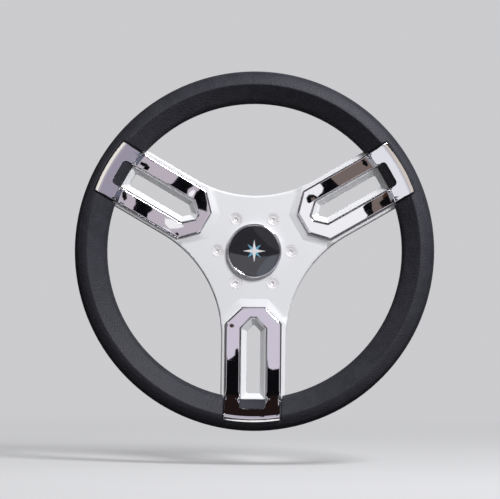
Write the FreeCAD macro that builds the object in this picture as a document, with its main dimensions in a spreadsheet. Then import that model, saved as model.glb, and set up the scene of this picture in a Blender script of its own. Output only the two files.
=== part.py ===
import FreeCAD, Part

import math
import os

import Sketcher

# Boat steering wheel, in millimetres and degrees. The wheel stands upright with +Z up. Its axis is the Y axis and
# its front faces -Y. The origin is on the axis at the hub's rear face, where the shaft's taper is widest.
# Each body is drawn with its spoke pointing up, in the plane half way through the rim, and is then placed.
# "Height" means distance in front of that plane, towards -Y, and "run" means distance out from the axis.

SIZES = {
    # Rim section
    "rim_outer_radius": 180.0,
    "rim_width": 32.4,
    "crown_radius": 15.7,
    "crown_height": 1.1,
    "crease_inset": 12.9,
    "facet_width": 14.8,
    "facet_slope": 35.0,
    "inner_round": 11.1,
    "crease_round": 1.5,
    # Spider casting
    "arm_half_width": 32.5,
    "hub_waist": 56.0,
    "arm_end_inset": 20.0,
    "arm_slope": 3.0,
    "arm_step": 1.7,
    "arm_step_run": 8.0,
    "arm_end_thickness": 8.6,
    "arm_back_start": 62.0,
    "hub_face_depth": 9.0,
    "hub_plate_thickness": 7.0,
    "edge_round": 2.4,
    "core_floor": 4.2,
    "core_wall": 3.5,
    "core_start": 84.0,
    "core_end_inset": 42.0,
    "core_corner": 3.0,
    "core_boss_radius": 5.0,
    # Slot through each arm and the bevelled frame round it
    "slot_half_width": 6.8,
    "slot_nose_half": 1.4,
    "slot_nose_gap": 7.0,
    "slot_nose_length": 6.0,
    "slot_end_inset": 37.2,
    "slot_corner": 2.5,
    "frame_half_width": 12.2,
    "frame_nose_half": 2.5,
    "frame_nose_gap": 11.5,
    "frame_nose_length": 10.5,
    "frame_end_inset": 31.7,
    "frame_drop": 0.4,
    "frame_land": 0.5,
    "funnel_depth": 4.6,
    # Chromed insert
    "insert_start": 56.0,
    "insert_nose_half": 11.0,
    "insert_nose_length": 16.5,
    "insert_side_inset": 4.3,
    "insert_stand": 2.2,
    "insert_bed": 1.0,
    "insert_end_inset": 8.0,
    "insert_over_rim": 0.8,
    "insert_wall": 3.2,
    "insert_end_wall": 3.6,
    "riser_start_inset": 34.4,
    "riser_end_inset": 30.1,
    "groove_inset": 13.0,
    "groove_half_width": 0.6,
    "groove_depth": 0.5,
    "insert_edge": 0.6,
    "window_gap": 0.6,
    # Recess for the insert in the rim, and the pad that rises through the insert
    "recess_side_gap": 1.8,
    "recess_end_gap": 2.0,
    "recess_corner": 3.0,
    "pad_end_inset": 22.2,
    "pad_corner": 3.2,
    "pad_gap": 0.3,
    # Screws that hold each insert from behind
    "insert_screw_nose_gap": 5.8,
    "insert_screw_far_inset": 50.0,
    "insert_screw_side": 20.4,
    "insert_screw_radius": 1.5,
    "insert_screw_bite": 1.9,
    "insert_screw_head_radius": 2.8,
    "insert_screw_head_height": 1.8,
    "insert_boss_radius": 3.1,
    "insert_boss_length": 1.6,
    "insert_seat_depth": 4.2,
    # Hub screws
    "bolt_circle_radius": 37.0,
    "hub_screw_radius": 3.0,
    "hub_screw_head_radius": 6.1,
    "hub_screw_head_land": 0.5,
    "hub_screw_length": 16.0,
    "hub_screw_socket": 4.0,
    "hub_screw_socket_depth": 2.3,
    # Centre cap
    "cap_bore_radius": 22.3,
    "cap_radius": 27.5,
    "cap_height": 3.6,
    "cap_lip": 2.6,
    "cap_floor": 1.2,
    "cap_disc_thickness": 1.5,
    "cap_disc_drop": 0.5,
    "cap_disc_crown": 0.3,
    "cap_skirt_wall": 3.2,
    "o_ring_section": 1.0,
    "o_ring_depth": 3.6,
    # Hub behind the spider
    "hub_flange_radius": 45.0,
    "hub_flange_thickness": 10.0,
    "hub_length": 44.0,
    "hub_neck_radius": 24.0,
    "hub_neck_round": 4.0,
    "hub_tail_radius": 19.0,
    "hub_edge": 1.0,
    "nut_recess_radius": 18.0,
    "nut_recess_depth": 15.0,
    "taper_large_radius": 9.525,
    "taper_ratio": 12.0,
    "key_width": 4.76,
    "key_depth": 2.4,
    # Clearances between pieces
    "fit_gap": 0.1,
    "thread_gap": 0.05,
    "screw_gap": 0.2,
}

ARMS = 3
ARM_ANGLE = 360.0 / ARMS
HUB_SCREWS = 6
LOWER_SPOKE = 180.0
COUNTERSINK = 90.0
# Angle of the rim that one insert's turned pieces take up
WEDGE = 36.0
# How far a drawing runs past what it cuts or joins, and a plane far outside the wheel
OVERRUN = 5.0
BEYOND = 100.0


class Size:
    """A number that keeps the sheet formula it comes from."""

    def __init__(self, value, text):
        self.value = float(value)
        self.text = text

    def __add__(self, other):
        other = as_size(other)
        return Size(self.value + other.value, "(%s + %s)" % (self.text, other.text))

    def __sub__(self, other):
        other = as_size(other)
        return Size(self.value - other.value, "(%s - %s)" % (self.text, other.text))

    def __mul__(self, other):
        other = as_size(other)
        return Size(self.value * other.value, "(%s * %s)" % (self.text, other.text))

    def __truediv__(self, other):
        other = as_size(other)
        return Size(self.value / other.value, "(%s / %s)" % (self.text, other.text))

    def __radd__(self, other):
        return as_size(other) + self

    def __rsub__(self, other):
        return as_size(other) - self

    def __rmul__(self, other):
        return as_size(other) * self

    def __neg__(self):
        return Size(-self.value, "(-1 * %s)" % self.text)


def as_size(number):
    """Give a plain number the same form as a size."""
    if isinstance(number, Size):
        return number
    return Size(number, "(%r)" % float(number))


def root(size):
    """Square root of a size."""
    return Size(math.sqrt(size.value), "sqrt(%s)" % size.text)


def sine(angle):
    """Sine of an angle in degrees."""
    angle = as_size(angle)
    return Size(math.sin(math.radians(angle.value)), "sin(%s)" % angle.text)


def cosine(angle):
    """Cosine of an angle in degrees."""
    angle = as_size(angle)
    return Size(math.cos(math.radians(angle.value)), "cos(%s)" % angle.text)


def leg(hypotenuse, other_leg):
    """Third side of a right triangle."""
    return root(hypotenuse * hypotenuse - other_leg * other_leg)


doc = FreeCAD.newDocument("BoatSteeringWheel")
sheet = doc.addObject("Spreadsheet::Sheet", "Sizes")
for row, (alias, number) in enumerate(SIZES.items(), start=1):
    sheet.set("A%d" % row, alias)
    sheet.set("B%d" % row, str(number))
    sheet.setAlias("B%d" % row, alias)
doc.recompute()


def cell(alias):
    """A size read from the sheet, tied to its cell."""
    return Size(sheet.get(alias), "Sizes." + alias)


def from_edge(alias):
    """A run from the axis, given as a distance in from the rim's outer edge."""
    return cell("rim_outer_radius") - cell(alias)


# Places worked out from the sheet

rim_inner = cell("rim_outer_radius") - cell("rim_width")
crown_centre = cell("rim_outer_radius") - cell("crown_radius")
crease_run = cell("rim_outer_radius") - cell("crease_inset")
crease_height = cell("crown_height") + leg(cell("crown_radius"), crease_run - crown_centre)
facet_rise = sine(cell("facet_slope")) / cosine(cell("facet_slope"))
facet_start = crease_run - cell("facet_width")
facet_start_height = crease_height - cell("facet_width") * facet_rise
inner_round = cell("inner_round")
wall_height = facet_start_height - leg(inner_round, rim_inner + inner_round - facet_start)
back_height = cell("crown_height") - cell("crown_radius")
back_round = wall_height - back_height

arm_reach = from_edge("arm_end_inset")
core_end = from_edge("core_end_inset")
slot_end = from_edge("slot_end_inset")
frame_end = from_edge("frame_end_inset")
riser_start = from_edge("riser_start_inset")
riser_end = from_edge("riser_end_inset")
groove_run = from_edge("groove_inset")
insert_end = from_edge("insert_end_inset")
pad_end = from_edge("pad_end_inset")
far_screw_run = from_edge("insert_screw_far_inset")

insert_half = cell("arm_half_width") - cell("insert_side_inset")
insert_shoulder = cell("insert_start") + cell("insert_nose_length")
near_screw_run = cell("insert_start") + cell("insert_screw_nose_gap")
frame_start = cell("insert_start") + cell("frame_nose_gap")
frame_shoulder = frame_start + cell("frame_nose_length")
slot_start = frame_start + cell("slot_nose_gap")
slot_shoulder = slot_start + cell("slot_nose_length")
recess_half = insert_half + cell("recess_side_gap")
recess_end = insert_end + cell("recess_end_gap")

arm_tilt = cosine(cell("arm_slope"))
arm_rise = sine(cell("arm_slope")) / arm_tilt
hub_face = -cell("hub_face_depth")
hub_back = hub_face - cell("hub_plate_thickness")
arm_level = hub_face + cell("arm_step") - cell("insert_start") * arm_rise
hub_end = hub_back - cell("hub_length")

window_half = cell("frame_half_width") + cell("window_gap")
frame_top = cell("insert_stand") - cell("frame_drop")
foot_radius = riser_end + cell("pad_gap")
over_facet = cell("insert_over_rim") / cosine(cell("facet_slope"))
cap_top = hub_face + cell("cap_height")
cap_seat = cap_top - cell("cap_disc_drop") - cell("cap_disc_thickness")
skirt_radius = cell("cap_bore_radius") - cell("fit_gap")


def arm_height(run, raised=0.0):
    """Height of a plane parallel to the arms' front face, raised above it, at a run from the axis."""
    return arm_level + run * arm_rise + as_size(raised) / arm_tilt


def facet_height(run):
    """Height of the rim's sloping facet, carried on, at a run from the axis."""
    return crease_height - (crease_run - run) * facet_rise


def arm_back_height(run):
    """Height of the arms' back at a run from the axis."""
    end = arm_height(arm_reach, -cell("arm_end_thickness"))
    slope = (end - hub_back) / (arm_reach - cell("arm_back_start"))
    return hub_back + (run - cell("arm_back_start")) * slope


insert_drop = cell("insert_wall") / cosine(cell("facet_slope")) - over_facet
insert_end_floor = facet_height(groove_run) + over_facet - cell("insert_end_wall")


# Bodies and sketches

def bind(target, prop, size):
    """Tie a property of a document object to the sheet."""
    target.setExpression(prop, as_size(size).text)


def new_body(name, turn=0.0):
    """A body placed on the wheel, turned clockwise about the axis."""
    body = doc.addObject("PartDesign::Body", name)
    body.Label = name
    base = FreeCAD.Vector(0, hub_end.value, 0)
    body.Placement = FreeCAD.Placement(base, FreeCAD.Rotation(FreeCAD.Vector(0, 1, 0), turn))
    bind(body, "Placement.Base.y", hub_end)
    return body


def origin_feature(body, role):
    """One of the body's own origin planes or axes."""
    for feature in body.Origin.OriginFeatures:
        if feature.Role == role:
            return feature
    raise LookupError(role)


def new_sketch(body, name, plane, height=0.0, slope=0.0):
    """A sketch on an origin plane, moved along its normal and then sloped about its x axis."""
    sketch = body.newObject("Sketcher::SketchObject", name)
    sketch.AttachmentSupport = [(origin_feature(body, plane), "")]
    sketch.MapMode = "FlatFace"
    height = as_size(height)
    slope = as_size(slope)
    turn = FreeCAD.Rotation(FreeCAD.Vector(1, 0, 0), slope.value)
    sketch.AttachmentOffset = FreeCAD.Placement(FreeCAD.Vector(0, 0, height.value), turn)
    bind(sketch, "AttachmentOffset.Base.z", height)
    if slope.value:
        bind(sketch, "AttachmentOffset.Rotation.Angle", slope)
    return sketch


def arm_sketch(body, name, raised=0.0):
    """A sketch parallel to the arms' front face, raised above it."""
    level = arm_level + as_size(raised) / arm_tilt
    return new_sketch(body, name, "XZ_Plane", level, cell("arm_slope"))


def fix_distance(sketch, kind, geometry, point, size):
    """Tie one coordinate of a sketch point to the sheet."""
    index = sketch.addConstraint(Sketcher.Constraint(kind, -1, 1, geometry, point, size.value))
    bind(sketch, "Constraints[%d]" % index, size)


def fix_radius(sketch, geometry, size):
    """Tie the radius of a circle or an arc to the sheet."""
    index = sketch.addConstraint(Sketcher.Constraint("Radius", geometry, size.value))
    bind(sketch, "Constraints[%d]" % index, size)


def draw_circle(sketch, x, y, radius):
    """A circle with its centre and radius tied to the sheet."""
    x, y, radius = as_size(x), as_size(y), as_size(radius)
    centre = FreeCAD.Vector(x.value, y.value, 0)
    circle = sketch.addGeometry(Part.Circle(centre, FreeCAD.Vector(0, 0, 1), radius.value), False)
    fix_distance(sketch, "DistanceX", circle, 3, x)
    fix_distance(sketch, "DistanceY", circle, 3, y)
    fix_radius(sketch, circle, radius)


def arc_between(start, end, radius, side):
    """An arc from start to end, its centre on the left (side 1) or the right (side -1) of the way."""
    chord = end - start
    across = FreeCAD.Vector(-chord.y, chord.x, 0) * (side / chord.Length)
    rise = math.sqrt(max(radius * radius - chord.Length * chord.Length / 4.0, 0.0))
    centre = (start + end) * 0.5 + across * rise
    first, last = (start, end) if side > 0 else (end, start)
    begin = math.atan2(first.y - centre.y, first.x - centre.x)
    finish = math.atan2(last.y - centre.y, last.x - centre.x)
    circle = Part.Circle(centre, FreeCAD.Vector(0, 0, 1), radius)
    return Part.ArcOfCircle(circle, begin, finish)


def draw_loop(sketch, corners):
    """A closed outline. A corner is (x, y), or (x, y, radius, side) where an arc leads to it."""
    corners = [tuple(as_size(value) for value in corner[:3]) + tuple(corner[3:]) for corner in corners]
    count = len(corners)
    points = [FreeCAD.Vector(corner[0].value, corner[1].value, 0) for corner in corners]
    edges = []
    for index in range(count):
        following = corners[(index + 1) % count]
        start, end = points[index], points[(index + 1) % count]
        radius = following[2] if len(following) > 2 else None
        side = following[3] if radius is not None else 1
        curve = arc_between(start, end, radius.value, side) if radius is not None else Part.LineSegment(start, end)
        edges.append((sketch.addGeometry(curve, False), (1, 2) if side > 0 else (2, 1), radius))
    for index, (edge, ends, radius) in enumerate(edges):
        next_edge, next_ends, _ = edges[(index + 1) % count]
        sketch.addConstraint(Sketcher.Constraint("Coincident", edge, ends[1], next_edge, next_ends[0]))
        fix_distance(sketch, "DistanceX", edge, ends[0], corners[index][0])
        fix_distance(sketch, "DistanceY", edge, ends[0], corners[index][1])
        if radius is not None:
            fix_radius(sketch, edge, radius)


def draw_surround(sketch):
    """A square well outside the wheel, so that what is drawn inside it is kept by a cut."""
    far = cell("rim_outer_radius") + BEYOND
    draw_loop(sketch, mirrored([(far, -far), (far, far)]))


def mirrored(half, far_arc=()):
    """A whole outline from its right-hand half, with an optional arc across its far end."""
    other = []
    for index in reversed(range(len(half))):
        arc = tuple(half[index + 1][2:]) if index + 1 < len(half) else tuple(far_arc)
        other.append((-as_size(half[index][0]), half[index][1]) + arc)
    return list(half) + other


def side_view(corners):
    """Turn (run, height) corners into a sketch of the YZ plane."""
    return [(-as_size(corner[1]), as_size(corner[0])) + tuple(corner[2:]) for corner in corners]


def section_view(corners):
    """Turn (radius, height) corners into a sketch of the XY plane, where height runs down."""
    flipped = []
    for corner in corners:
        arc = (corner[2], -corner[3]) if len(corner) > 2 else ()
        flipped.append((as_size(corner[0]), -as_size(corner[1])) + arc)
    return flipped


def tilted(corners):
    """Spread outline corners along the arms' slope, so that they lie over their plan positions."""
    return [(corner[0], as_size(corner[1]) / arm_tilt) + tuple(corner[2:]) for corner in corners]


# Features

def volume(body):
    """Volume of what the body holds so far."""
    doc.recompute()
    return body.Shape.Volume


def check_cut(body, feature, before):
    """Stop if a cut left the body as it was."""
    if not volume(body) < before:
        raise ValueError(feature.Name + " cuts nothing")
    return feature


def add_pad(body, sketch, length, both_ways=False, backwards=False, taper=0.0):
    """Raise a sketch into a solid."""
    pad = body.newObject("PartDesign::Pad", sketch.Name + "_pad")
    pad.Profile = sketch
    pad.Length = as_size(length).value
    bind(pad, "Length", length)
    pad.Reversed = backwards
    pad.TaperAngle = taper
    if both_ways:
        pad.SideType = "Symmetric"
    doc.recompute()
    return pad


def cut_pocket(body, sketch, length=None, both_ways=False, forwards=False):
    """Cut a sketch out of the body, right through if no length is given."""
    before = volume(body)
    pocket = body.newObject("PartDesign::Pocket", sketch.Name + "_pocket")
    pocket.Profile = sketch
    pocket.Reversed = forwards
    if length is None:
        pocket.Type = "ThroughAll"
    else:
        pocket.Length = as_size(length).value
        bind(pocket, "Length", length)
    if both_ways:
        pocket.SideType = "Symmetric"
    return check_cut(body, pocket, before)


def add_turned(body, sketch, axis, angle=360.0):
    """Turn a section about one of its sketch's axes, to both sides of the sketch."""
    turned = body.newObject("PartDesign::Revolution", sketch.Name + "_turned")
    turned.Profile = sketch
    turned.ReferenceAxis = (sketch, [axis])
    turned.Angle = angle
    turned.Midplane = angle < 360.0
    doc.recompute()
    return turned


def loft_between(body, first, second, cutting=False):
    """A solid, or a cut, with straight sides between two outlines."""
    before = volume(body) if cutting else 0.0
    kind = "PartDesign::SubtractiveLoft" if cutting else "PartDesign::AdditiveLoft"
    loft = body.newObject(kind, first.Name + "_loft")
    loft.Profile = first
    loft.Sections = [second]
    loft.Ruled = True
    doc.recompute()
    return check_cut(body, loft, before) if cutting else loft


def repeat_round(body, feature, count=ARMS):
    """Repeat a feature round the wheel's axis."""
    pattern = body.newObject("PartDesign::PolarPattern", feature.Name + "_round")
    pattern.Originals = [feature]
    pattern.Axis = (origin_feature(body, "Y_Axis"), [""])
    pattern.Angle = 360.0
    pattern.Occurrences = count
    body.Tip = pattern
    doc.recompute()
    return pattern


def dress(body, kind, base, names, prop, size):
    """Round or bevel edges of a feature."""
    feature = body.newObject("PartDesign::" + kind, base.Name + "_" + kind.lower())
    feature.Base = (base, names)
    setattr(feature, prop, as_size(size).value)
    bind(feature, prop, size)
    body.Tip = feature
    doc.recompute()
    return feature


def edge_names(shape, wanted):
    """Names of the edges that a test picks."""
    return ["Edge%d" % (index + 1) for index, edge in enumerate(shape.Edges) if wanted(edge)]


def rings_at(shape, radius, height):
    """Names of the circles round the axis at a radius and a height."""

    def wanted(edge):
        box = edge.BoundBox
        level = abs(-box.YMax - height.value) < 0.01 and abs(-box.YMin - height.value) < 0.01
        return level and abs(box.XLength - 2 * radius.value) < 0.05 and edge.isClosed()

    return edge_names(shape, wanted)


def facing_forward(face, point):
    """How far a face looks to the front at a point: 1 is straight ahead, 0 is sideways."""
    along, across = face.Surface.parameter(point)
    return -face.normalAt(along, across).y


def front_corners(shape, kept):
    """Names of the edges where an upright wall meets a front face, at the points that a test keeps."""

    def wanted(edge):
        middle = edge.valueAt((edge.FirstParameter + edge.LastParameter) / 2)
        if not kept(middle):
            return False
        looks = sorted(facing_forward(face, middle) for face in shape.ancestorsOfType(edge, Part.Face))
        return len(looks) == 2 and abs(looks[0]) < 0.1 and looks[1] > 0.5

    return edge_names(shape, wanted)


# Outlines in plan that more than one piece shares: (sideways, run)

def pointed_outline(nose_half, start, half_width, shoulder, grow):
    """The first two corners of a pointed outline's right half, grown by a distance."""
    slant = shoulder - start
    spread = half_width - nose_half
    length = root(slant * slant + spread * spread)
    nose = nose_half + grow * (length - spread) / slant
    return [(nose, start - grow), (half_width + grow, shoulder - grow * (length - slant) / spread)]


def insert_point(grow):
    """The insert's pointed hub end, grown by a gap."""
    return pointed_outline(
        cell("insert_nose_half"), cell("insert_start"),
        insert_half, insert_shoulder, as_size(grow),
    )


def insert_outline(grow, end_radius):
    """The insert's outline, grown by a gap, with its far end on a circle round the axis."""
    half_width = insert_half + grow
    return mirrored(insert_point(grow) + [(half_width, leg(end_radius, half_width))], (end_radius, 1))


def frame_point(grow):
    """The slot frame's pointed end, grown by a gap."""
    return pointed_outline(
        cell("frame_nose_half"), frame_start,
        cell("frame_half_width"), frame_shoulder, as_size(grow),
    )


def frame_outline(grow, end):
    """The slot frame's outline, grown by a gap, ending square at a run from the axis."""
    return mirrored(frame_point(grow) + [(cell("frame_half_width") + grow, end)])


def rounded_end(half_width, end, corner):
    """Two corners that round off the right half of an outline's square far end."""
    return [(half_width, end - corner), (half_width - corner, end, corner, 1)]


def step_outline(grow, half_width):
    """The insert's pointed end, grown and carried on to a width, then straight to the arm's end."""
    nose, start = insert_point(grow)[0]
    slant = insert_shoulder - cell("insert_start")
    spread = insert_half - cell("insert_nose_half")
    shoulder = start + (half_width - nose) * slant / spread
    return mirrored([(nose, start), (half_width, shoulder), (half_width, arm_reach)])


def screw_places(raised):
    """Where the axes of an insert's three screws, square to the arm's face, cross a raised sketch."""
    drift = as_size(raised) * sine(cell("arm_slope"))
    near = near_screw_run - drift
    far = far_screw_run - drift
    side = cell("insert_screw_side")
    return tilted([(0.0, near), (side, far), (-side, far)])


def screw_circles(body, name, raised, radius):
    """A sketch parallel to the arm with a circle at each insert screw."""
    sketch = arm_sketch(body, name, raised)
    for x, y in screw_places(raised):
        draw_circle(sketch, x, y, radius)
    return sketch


def hub_screw_circles(body, name, height, radius):
    """A sketch square to the axis with a circle at each hub screw."""
    sketch = new_sketch(body, name, "XZ_Plane", height)
    for number in range(HUB_SCREWS):
        angle = 360.0 / HUB_SCREWS * number
        run = cell("bolt_circle_radius")
        draw_circle(sketch, run * cosine(angle), run * sine(angle), radius)
    return sketch


# The rim

def build_recess_cutter(name, turn):
    """What the rim leaves free for one insert: open to the front, with an island for the raised pad."""
    body = new_body(name, turn)
    corner = cell("recess_corner")
    foot = foot_radius + cell("pad_gap")
    floor_drop = insert_drop + cell("fit_gap")
    end_floor = insert_end_floor - cell("fit_gap")
    front = crease_height + OVERRUN
    inside = rim_inner - OVERRUN

    region = new_sketch(body, name + "_region", "YZ_Plane")
    in_socket = -2 * cell("insert_bed")
    draw_loop(region, side_view([
        (inside, arm_height(inside, in_socket)),
        (foot, arm_height(foot, in_socket)),
        (foot, facet_height(foot) - floor_drop),
        (groove_run, facet_height(groove_run) - floor_drop),
        (groove_run + cell("groove_half_width"), end_floor),
        (recess_end + corner, end_floor),
        (recess_end + corner, front),
        (inside, front),
    ]))
    add_turned(body, region, "H_Axis", WEDGE)

    outside = new_sketch(body, name + "_outside", "XZ_Plane", BEYOND)
    draw_surround(outside)
    draw_loop(outside, mirrored([
        (recess_half, inside - corner),
        (recess_half, leg(recess_end, recess_half) - corner),
        (recess_half - corner, leg(recess_end, recess_half - corner), corner, 1),
    ], (recess_end, 1)))
    pad_half = window_half - cell("pad_gap")
    pad_start = frame_end + cell("pad_gap")
    draw_loop(outside, mirrored([(pad_half, pad_start)] + rounded_end(pad_half, pad_end, cell("pad_corner"))))
    cut_pocket(body, outside)
    return body


def build_rim():
    """The moulded rim, with a socket for each arm and a recess for each insert."""
    body = new_body("rim_moulding", LOWER_SPOKE)
    section = new_sketch(body, "rim_section", "XY_Plane")
    crown = cell("crown_radius")
    draw_loop(section, section_view([
        (crease_run, crease_height),
        (cell("rim_outer_radius"), cell("crown_height"), crown, -1),
        (crown_centre, back_height, crown, -1),
        (rim_inner + back_round, back_height),
        (rim_inner, wall_height, back_round, -1),
        (facet_start, facet_start_height, inner_round, -1),
    ]))
    ring = add_turned(body, section, "V_Axis")
    crease = rings_at(ring.Shape, crease_run, crease_height)
    dress(body, "Fillet", ring, crease, "Radius", cell("crease_round"))

    socket = new_sketch(body, "arm_socket", "YZ_Plane")
    start = rim_inner - OVERRUN
    draw_loop(socket, side_view([
        (start, arm_height(start)),
        (start, arm_back_height(start)),
        (arm_reach, arm_back_height(arm_reach)),
        (arm_reach, arm_height(arm_reach)),
    ]))
    repeat_round(body, cut_pocket(body, socket, 2 * cell("arm_half_width"), both_ways=True))

    rim = body
    for number in range(ARMS):
        cut = doc.addObject("Part::Cut", "rim_less_recess_%d" % (number + 1))
        cut.Base = rim
        cut.Tool = build_recess_cutter("recess_%d" % (number + 1), LOWER_SPOKE + ARM_ANGLE * number)
        doc.recompute()
        rim = cut
    rim.Label = "rim_grip"
    return rim


# The spider

def build_spider():
    """The cast spider: hub plate, arms, frames, slots, beds for the inserts, and screw holes."""
    body = new_body("spoke_spider", LOWER_SPOKE)

    # The plate and the arms are drawn wider than they are, and the gaps trim them
    half = cell("arm_half_width") * 1.5
    plate = new_sketch(body, "hub_plate", "XZ_Plane", hub_back)
    draw_circle(plate, 0.0, 0.0, cell("hub_waist") * 1.2)
    add_pad(body, plate, cell("hub_plate_thickness"))

    base = new_sketch(body, "arm_base", "YZ_Plane")
    draw_loop(base, side_view([
        (cell("cap_bore_radius"), hub_face),
        (cell("cap_bore_radius"), hub_back),
        (cell("arm_back_start"), hub_back),
        (arm_reach, arm_back_height(arm_reach)),
        (arm_reach, hub_face),
    ]))
    repeat_round(body, add_pad(body, base, half * 2, both_ways=True))

    step_top = arm_sketch(body, "arm_step_top")
    draw_loop(step_top, tilted(step_outline(2 * cell("window_gap"), half)))
    step_foot = new_sketch(body, "arm_step_foot", "XZ_Plane", hub_face)
    draw_loop(step_foot, step_outline(cell("arm_step_run"), half + cell("arm_step_run")))
    repeat_round(body, loft_between(body, step_foot, step_top))

    cut_gaps(body)
    cut_insert_bed(body)
    cut_slot(body)
    cut_arm_holes(body)
    cut_hub_holes(body)
    return body


def beside_next_arm(run, side):
    """Plan position of a point beside the next arm clockwise, on the side that faces the upright arm."""
    angle = 90.0 - ARM_ANGLE
    run, side = as_size(run), as_size(side)
    x = run * cosine(angle) - side * sine(angle)
    y = run * sine(angle) + side * cosine(angle)
    return (x, y)


def cut_gaps(body):
    """Open the three gaps, each with straight arm sides joined by one arc, and round their front edges."""
    half = cell("arm_half_width")
    half_turn = ARM_ANGLE / 2
    gap_centre = (cell("hub_waist") - half) / (1 - sine(half_turn))
    gap_radius = gap_centre - cell("hub_waist")
    touch_run = gap_centre * cosine(half_turn)
    beyond = cell("rim_outer_radius") + BEYOND
    next_end = beside_next_arm(beyond, half)
    gap = new_sketch(body, "gap_between_arms", "XZ_Plane", BEYOND)
    draw_loop(gap, [
        beside_next_arm(touch_run, half),
        (half, touch_run, gap_radius, -1),
        (half, beyond),
        (beyond * 2, beyond),
        (beyond * 2, next_end[1]),
        next_end,
    ])
    gaps = repeat_round(body, cut_pocket(body, gap))

    def inside_rim(point):
        return math.hypot(point.x, point.z) < rim_inner.value and -point.y > hub_face.value - 0.01

    corners = front_corners(gaps.Shape, inside_rim)
    dress(body, "Fillet", gaps, corners, "Radius", cell("edge_round"))


def cut_insert_bed(body):
    """Sink the bed that each insert lies in, and raise the slot's frame from it."""
    bed = arm_sketch(body, "insert_bed")
    gap = cell("fit_gap")
    draw_loop(bed, tilted(insert_outline(gap, foot_radius + gap)))
    repeat_round(body, cut_pocket(body, bed, cell("insert_bed")))

    frame = arm_sketch(body, "slot_frame", frame_top)
    draw_loop(frame, tilted(frame_outline(as_size(0.0), frame_end)))
    repeat_round(body, add_pad(body, frame, frame_top + 2 * cell("insert_bed"), backwards=True))


def cut_slot(body):
    """Cut the slot through each arm, with the frame bevelled down to it."""
    half = cell("slot_half_width")
    point = [(cell("slot_nose_half"), slot_start), (half, slot_shoulder)]
    slot = new_sketch(body, "slot", "XZ_Plane", BEYOND)
    draw_loop(slot, mirrored(point + rounded_end(half, slot_end, cell("slot_corner"))))
    repeat_round(body, cut_pocket(body, slot))

    land = -cell("frame_land")
    mouth = arm_sketch(body, "funnel_mouth", frame_top)
    draw_loop(mouth, tilted(frame_outline(land, frame_end + land)))
    throat = arm_sketch(body, "funnel_throat", frame_top - cell("funnel_depth"))
    draw_loop(throat, tilted(mirrored(point + [(half, slot_end)])))
    repeat_round(body, loft_between(body, mouth, throat, cutting=True))


def cut_arm_holes(body):
    """Core out the arms' backs and make the holes for the inserts' bosses and screws."""
    inner = cell("slot_half_width") + cell("core_wall")
    outer = cell("arm_half_width") - cell("core_wall")
    corner = cell("core_corner")
    core = arm_sketch(body, "back_core", -cell("core_floor"))
    beside_slot = tilted([
        (inner + corner, cell("core_start"), corner, 1),
        (outer - corner, cell("core_start")),
        (outer, cell("core_start") + corner, corner, 1),
        (outer, core_end - corner),
        (outer - corner, core_end, corner, 1),
        (inner + corner, core_end),
        (inner, core_end - corner, corner, 1),
        (inner, cell("core_start") + corner),
    ])
    draw_loop(core, beside_slot)
    draw_loop(core, other_hand(beside_slot))
    for x, y in screw_places(-cell("core_floor"))[1:]:
        draw_circle(core, x, y, cell("core_boss_radius"))
    repeat_round(body, cut_pocket(body, core))

    shank = screw_circles(body, "insert_screw_hole", 0.0, cell("insert_screw_radius") + cell("screw_gap"))
    repeat_round(body, cut_pocket(body, shank))
    head_radius = cell("insert_screw_head_radius") + cell("screw_gap")
    seat = screw_circles(body, "insert_screw_seat", -cell("insert_seat_depth"), head_radius)
    repeat_round(body, cut_pocket(body, seat))
    boss_radius = cell("insert_boss_radius") + cell("fit_gap")
    boss = screw_circles(body, "insert_boss_hole", -cell("insert_bed"), boss_radius)
    repeat_round(body, cut_pocket(body, boss, cell("insert_boss_length") + cell("fit_gap")))


def other_hand(corners):
    """An outline as seen in a mirror."""
    return [(-corner[0], corner[1]) + ((corner[2], -corner[3]) if len(corner) > 2 else ()) for corner in corners]


def cut_hub_holes(body):
    """Bore the hub plate for the cap and countersink it for the six screws."""
    bore = new_sketch(body, "cap_bore", "XZ_Plane", hub_face)
    draw_circle(bore, 0.0, 0.0, cell("cap_bore_radius"))
    cut_pocket(body, bore)
    shank_radius = cell("hub_screw_radius") + cell("screw_gap")
    head_radius = cell("hub_screw_head_radius") + cell("fit_gap")
    land = cell("hub_screw_head_land")
    cut_pocket(body, hub_screw_circles(body, "hub_screw_lands", hub_face, head_radius), land)
    shanks = hub_screw_circles(body, "hub_screw_holes", hub_face - land, shank_radius)
    before = volume(body)
    hole = body.newObject("PartDesign::Hole", "hub_screw_countersinks")
    hole.Profile = shanks
    hole.DepthType = "ThroughAll"
    hole.Diameter = 2 * shank_radius.value
    bind(hole, "Diameter", 2 * shank_radius)
    hole.HoleCutType = "Countersink"
    hole.HoleCutCustomValues = True
    hole.HoleCutDiameter = 2 * head_radius.value
    bind(hole, "HoleCutDiameter", 2 * head_radius)
    hole.HoleCutCountersinkAngle = COUNTERSINK
    check_cut(body, hole, before)


# The chromed inserts

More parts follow.
